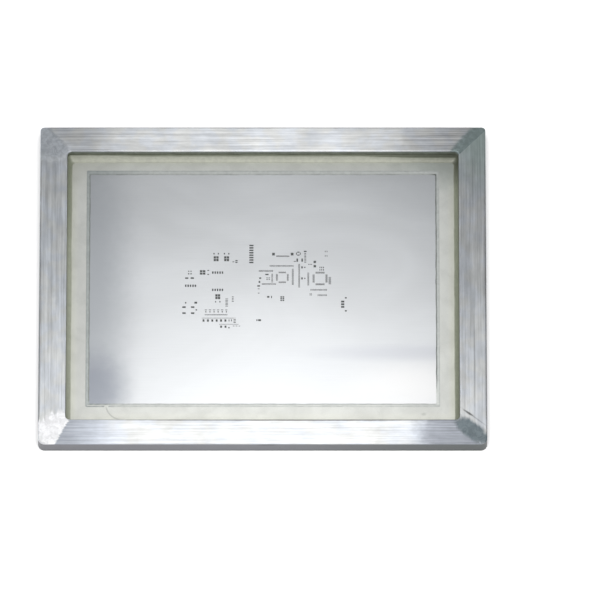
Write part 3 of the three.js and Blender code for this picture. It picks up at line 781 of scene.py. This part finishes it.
def wall_bead_darkness(x, y, share):
    """How dark the bead is painted at a place on the wall, from 0 to 1, at a share of its way to its foot:
    partly the adhesive's olive and partly painted shade, deep beside the short bars, and along the others
    mostly at the top of the bead, more so towards the right."""
    beside_short_bar = smooth_step(abs(x), WELL_X - 4 * MM, WELL_X - 1 * MM)
    paler_left = 0.3 * smooth_step(-x, 0, WELL_X) * smooth_step(-y, -0.11, -0.03)
    foot = 1 - 0.5 * smooth_step(share, 0.85, 1.0)
    rightward = smooth_step(x, 0.09, 0.16)
    leftward = smooth_step(-x, 0.12, 0.2)
    reach = 0.15 + 0.16 * rightward - 0.1 * leftward
    upper = 1 - smooth_step(share, reach, reach + 0.08)
    edge = 0.16 * smooth_step(share, 0.45, 0.75)
    return max(beside_short_bar * foot * (1 - paler_left), upper, edge, 0.32 * smooth_step(x, 0.1, 0.19))


def make_wall_bead():
    """The bead up the foot of the inner walls: uneven, thin up the wall and widening to a foot."""
    loops, depths, rims = [], [], []
    outer = ring(WELL_X, WELL_Y, (WELD_FILLET,) * 2, WALL_BEAD_COUNTS)
    foot_x, foot_y = WELL_X - WALL_BEAD_FOOT, WELL_Y - WALL_BEAD_FOOT
    inner = ring(foot_x, foot_y, (WALL_BEAD_RADIUS,) * 2, WALL_BEAD_COUNTS)
    rise = WALL_BEAD_TOP - MESH_HIGH.z
    for step in range(BEAD_STEPS + 3):
        share = min(max((step - 1) / BEAD_STEPS, 0.0), 1.0)
        loop = []
        for wall, foot in zip(outer, inner):
            width = 0.93 + 0.07 * wander(wall.x, wall.y, 0, 18 * MM)
            height = 0.9 + 0.1 * wander(wall.x, wall.y, 1, 12 * MM)
            reach = 0.05 + 0.95 * share ** 1.9
            z = MESH_HIGH.z + WALL_BEAD_LIP + (rise * height - WALL_BEAD_LIP) * (1 - share) ** 2.2
            if step in (0, BEAD_STEPS + 2):
                z = MESH_HIGH.z
            place = wall.lerp(foot, 0.02 if step == 0 else reach * width)
            loop.append(Vector((place.x, place.y, z)))
            depth = wall_bead_darkness(wall.x, wall.y, share)
            # The rim colour darkens the bead towards the back right: painted shade.
            rightward = smooth_step(wall.x, 0.08, 0.2)
            backward = smooth_step(wall.y, WELL_Y - 45 * MM, WELL_Y - 2 * MM)
            depths.append(depth)
            rims.append(0.75 * rightward * backward * depth)
        loops.append(loop)
    bead = add_piece(
        "wall_bead_cured",
        [point for loop in loops for point in loop],
        closed_band(loops),
        [cured_epoxy("epoxy_olive", PALE_YELLOW, OLIVE, DARK_OLIVE, 0.0)],
    )
    set_numbers(bead, "depth", depths)
    set_numbers(bead, "rim", rims)
    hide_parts("wall_bead")
    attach(bead, "root")


def seal_colouring(x, y, share):
    """How dark its rim and how dark its body are painted, each from 0 to 1, at a place on its rim and a share
    of its way to its toe on the foil. A dark line rings the toe, except in front, and a fainter one lies
    along the mesh, except at the back. The body is greyest on the left."""
    left = smooth_step(-x, WINDOW_X - 4 * MM, WINDOW_X)
    right = smooth_step(x, WINDOW_X - 4 * MM, WINDOW_X)
    front = smooth_step(WINDOW_CENTRE_Y - y, WINDOW_Y - 1 * MM, WINDOW_Y)
    back = smooth_step(y - WINDOW_CENTRE_Y, WINDOW_Y - 1 * MM, WINDOW_Y)
    near_front = smooth_step(WINDOW_CENTRE_Y - y, 0.75 * WINDOW_Y, 0.95 * WINDOW_Y)
    far_left = smooth_step(-x, 0.62 * WINDOW_X, 0.95 * WINDOW_X)
    toe = smooth_step(share, 0.6, 0.8) * (1 - front) * (1 - right * near_front)
    heel = 1 - smooth_step(share, 0.15, 0.45)
    rim_dark = toe * (0.4 + 0.25 * left + 0.5 * right + 0.12 * back) + heel * (0.12 + 0.05 * front) * (1 - back)
    blotch = 0.75 + 0.5 * wander(x, y, 5, 4 * MM)
    depth = max(
        left * (0.75 + 0.25 * share),
        0.7 * right * share * (1 - near_front),
        back * (0.35 + 0.65 * far_left),
        front * smooth_step(-x, 0.84 * WINDOW_X, 0.9 * WINDOW_X) * blotch,
    )
    return rim_dark * (0.9 + 0.35 * wander(x, y, 4, 16 * MM)), depth


def make_seal_bead():
    """The low bead over the mesh's cut edge, down to the foil: smeared by hand, with a dark rim."""
    loops, rims, depths = [], [], []
    over, width = SEAL_OVERLAP, SEAL_BEAD_WIDTH
    radii = (WINDOW_CORNER_RADIUS,) * 2
    half_y, middle_y = WINDOW_Y + SEAL_FRONT_SHIFT / 2, WINDOW_CENTRE_Y - SEAL_FRONT_SHIFT / 2
    outer = ring(WINDOW_X + over, half_y + over, radii, SEAL_BEAD_COUNTS, middle_y)
    spread = SEAL_BACK_SPREAD / 2
    inner = ring(WINDOW_X - width, half_y - width - spread, radii, SEAL_BEAD_COUNTS, middle_y - spread)
    rise = MESH_HIGH.z - FOIL_HIGH.z + SEAL_CROWN
    for step in range(-1, BEAD_STEPS + 1):
        share = max(step, 0) / BEAD_STEPS
        loop = []
        for edge, toe in zip(outer, inner):
            reach = 0.94 + 0.08 * wander(edge.x, edge.y, 2, 9 * MM)
            place = edge.lerp(toe, share * reach)
            crown = 0.0
            if step >= 0:
                crown = (0.66 + 0.2 * smooth_step(share, 0, 0.3)) * (1 - share) ** 0.8
                crown *= 0.95 + 0.12 * wander(edge.x, edge.y, 3, 7 * MM)
            loop.append(Vector((place.x, place.y, FOIL_HIGH.z + rise * crown)))
            rim_dark, depth = seal_colouring(edge.x, edge.y, share)
            rims.append(rim_dark)
            depths.append(depth)
        loops.append(loop)
    bead = add_piece(
        "edge_seal_bead_cured",
        [point for loop in loops for point in loop],
        closed_band(loops),
        [cured_epoxy("epoxy_grey", GREY_GREEN, DARK_GREY_GREEN, SEAL_RIM_DARK, 0.5)],
    )
    set_numbers(bead, "rim", rims)
    set_numbers(bead, "depth", depths)
    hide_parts("edge_seal_bead")
    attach(bead, "root")


# ---- Mesh sheet ----

SHEET_COUNTS = (220, 170, 6)
SHEET_ROWS = 40
SHEET_WAVE = 0.04 * MM


def crease(x, y):
    """The fold line's height at a place, 1 on its crest and fading at its ends."""
    away = Vector((x - CREASE_CENTRE[0], y - CREASE_CENTRE[1]))
    turn = math.degrees(math.atan2(away.y, away.x)) % 360
    ends = smooth_step(turn, 172, 190) * (1 - smooth_step(turn, 262, 280))
    return ends * math.exp(-(((away.length - CREASE_RADIUS) / CREASE_HALF_WIDTH) ** 2))


def sheet_lift(x, y):
    """How far the mesh rises at a place: a fold and faint waves, but flat beside the walls."""
    clear_x = smooth_step(WELL_X - abs(x), 5 * MM, 9 * MM)
    clear_y = smooth_step(WELL_Y - abs(y), 5 * MM, 9 * MM)
    wave = SHEET_WAVE * wander(x, y, 4, 25 * MM)
    return clear_x * clear_y * (CREASE_HEIGHT * crease(x, y) + wave)


def make_mesh_sheet():
    """The polyester mesh: one sheet, stretched flat under the bars, with the window cut in it."""
    radii = [radius - SHEET_TRIM for radius in CORNER_RADII]
    outer = ring(MESH_HIGH.x, MESH_HIGH.y, radii, SHEET_COUNTS)
    inner = ring(WINDOW_X, WINDOW_Y, (WINDOW_CORNER_RADIUS,) * 2, SHEET_COUNTS, WINDOW_CENTRE_Y)
    loops = []
    for row in range(SHEET_ROWS + 1):
        loop = []
        for rim, cut in zip(outer, inner):
            place = rim.lerp(cut, row / SHEET_ROWS)
            loop.append(Vector((place.x, place.y, MESH_HIGH.z + sheet_lift(place.x, place.y))))
        loops.append(loop)
    thickness = Vector((0, 0, MESH_HIGH.z - MESH_LOW.z))
    loops += [[point - thickness for point in loop] for loop in reversed(loops)]
    sheet = add_piece(
        "polyester_mesh_woven",
        [point for loop in loops for point in loop],
        closed_band(loops),
        [woven_polyester()],
    )
    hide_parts("polyester_mesh")
    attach(sheet, "root")


# ---- Pieces kept as designed ----

def finish_designed_pieces():
    """The foil and the films out of sight have their shape from the design, and only their materials here."""
    materials = {
        "stencil_foil": stainless_foil(),
        "frame_bond_film": cured_epoxy("epoxy_film", OLIVE, OLIVE, OLIVE, 0.0),
        "foil_bond_border": cured_epoxy("epoxy_border", GREY_GREEN, GREY_GREEN, GREY_GREEN, 0.0),
    }
    for name, material in materials.items():
        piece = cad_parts[name]
        piece.data.materials.clear()
        piece.data.materials.append(material)


# ---- Studio ----

TILT = math.radians(25.8)  # of the view from straight down
CAMERA_DISTANCE = 15.0
VIEW_WIDTH = 0.631  # across the picture, at the object
AIM = Vector((0.0391, -0.0094, 0.0))
SENSOR = 36.0
FLOOR_HALF = 20.0
FLOOR_DROP = 0.3 * MM
FLOOR_WHITE = (0.94, 0.94, 0.94)
FLOOR_GLOW = 0.35
CARD_DROP = 0.15 * MM
CARD_DARK = (0.085, 0.09, 0.09)
WALL_LIGHT = 1.15  # the room's radiance, low down and overhead
CEILING_LIGHT = 0.44
ROOM_COLOUR = (0.98, 0.99, 1.0, 1)
SOFTBOX_PLACE = (0.005, -0.25, 0.75)  # it faces straight down
SOFTBOX_SIZE = (0.38, 1.0)
SOFTBOX_LIGHT = 4.4  # its radiance
SOFTBOX_COLOUR = (1.0, 0.975, 0.95)


def make_camera():
    """A long lens from far off, because the outline hardly narrows towards the back."""
    data = bpy.data.cameras.new("camera")
    data.sensor_width = SENSOR
    data.lens = SENSOR * CAMERA_DISTANCE / VIEW_WIDTH
    data.clip_start, data.clip_end = 0.1, 100.0
    camera = bpy.data.objects.new("camera", data)
    back = Vector((0, -math.sin(TILT), math.cos(TILT)))
    camera.location = AIM + CAMERA_DISTANCE * back
    camera.rotation_euler = (TILT, 0, 0)
    bpy.context.scene.collection.objects.link(camera)
    bpy.context.scene.camera = camera


def flat_sheet(name, low, high, z, material):
    """A level rectangle between two corners, x and y, facing up."""
    corners = [(low[0], low[1]), (high[0], low[1]), (high[0], high[1]), (low[0], high[1])]
    return add_piece(name, [(x, y, z) for x, y in corners], [(0, 1, 2, 3)], [material])


def make_floor():
    """White paper. It glows a little, so that it stays white under the frame's light."""
    material, tree, shader = new_material("floor_paper", Roughness=0.9, Specular_IOR_Level=0.1)
    shader.inputs["Emission Color"].default_value = (1, 1, 1, 1)
    shader.inputs["Emission Strength"].default_value = FLOOR_GLOW
    mottle = speckle(tree, object_place(tree), 3, detail=2)
    colour = dimmed(tree, FLOOR_WHITE, remap(tree, mottle, 0, 1, 0.985, 1.0))
    tree.links.new(colour, shader.inputs["Base Color"])
    floor = flat_sheet("floor", (-FLOOR_HALF,) * 2, (FLOOR_HALF,) * 2, -FLOOR_DROP, material)


def make_card():
    """A dark card under the foil, so that the apertures read dark against the metal."""
    material, tree, shader = new_material("card_paper", Roughness=0.9, Specular_IOR_Level=0.1)
    fibre = speckle(tree, object_place(tree), 400, detail=2)
    colour = dimmed(tree, CARD_DARK, remap(tree, fibre, 0, 1, 0.8, 1.2))
    tree.links.new(colour, shader.inputs["Base Color"])
    card = flat_sheet("card", FOIL_LOW, FOIL_HIGH, -CARD_DROP, material)


def make_softbox():
    """A soft panel. Its energy follows its size, so that its look doesn't change with it."""
    width, depth = SOFTBOX_SIZE
    data = bpy.data.lights.new("softbox", "AREA")
    data.shape = "RECTANGLE"
    data.size, data.size_y = width, depth
    data.energy = SOFTBOX_LIGHT * math.pi * width * depth
    data.color = SOFTBOX_COLOUR
    panel = bpy.data.objects.new("softbox", data)
    panel.location = SOFTBOX_PLACE
    panel.visible_camera = False
    bpy.context.scene.collection.objects.link(panel)


def make_room():
    """Light from all round, brighter low down than overhead."""
    world = bpy.data.worlds.new("studio")
    world.use_nodes = True
    tree = world.node_tree
    background = tree.nodes["Background"]
    background.inputs["Color"].default_value = ROOM_COLOUR
    up = node(tree, "ShaderNodeSeparateXYZ", {0: node(tree, "ShaderNodeTexCoord").outputs["Generated"]})
    level = remap(tree, up.outputs["Z"], 0.5, 0.85, WALL_LIGHT, CEILING_LIGHT)
    tree.links.new(level, background.inputs["Strength"])
    bpy.context.scene.world = world
    bpy.context.scene.view_settings.view_transform = "Standard"


make_camera()
make_floor()
make_card()
make_room()
make_softbox()
make_frame()
make_wall_bead()
make_seal_bead()
make_mesh_sheet()
finish_designed_pieces()
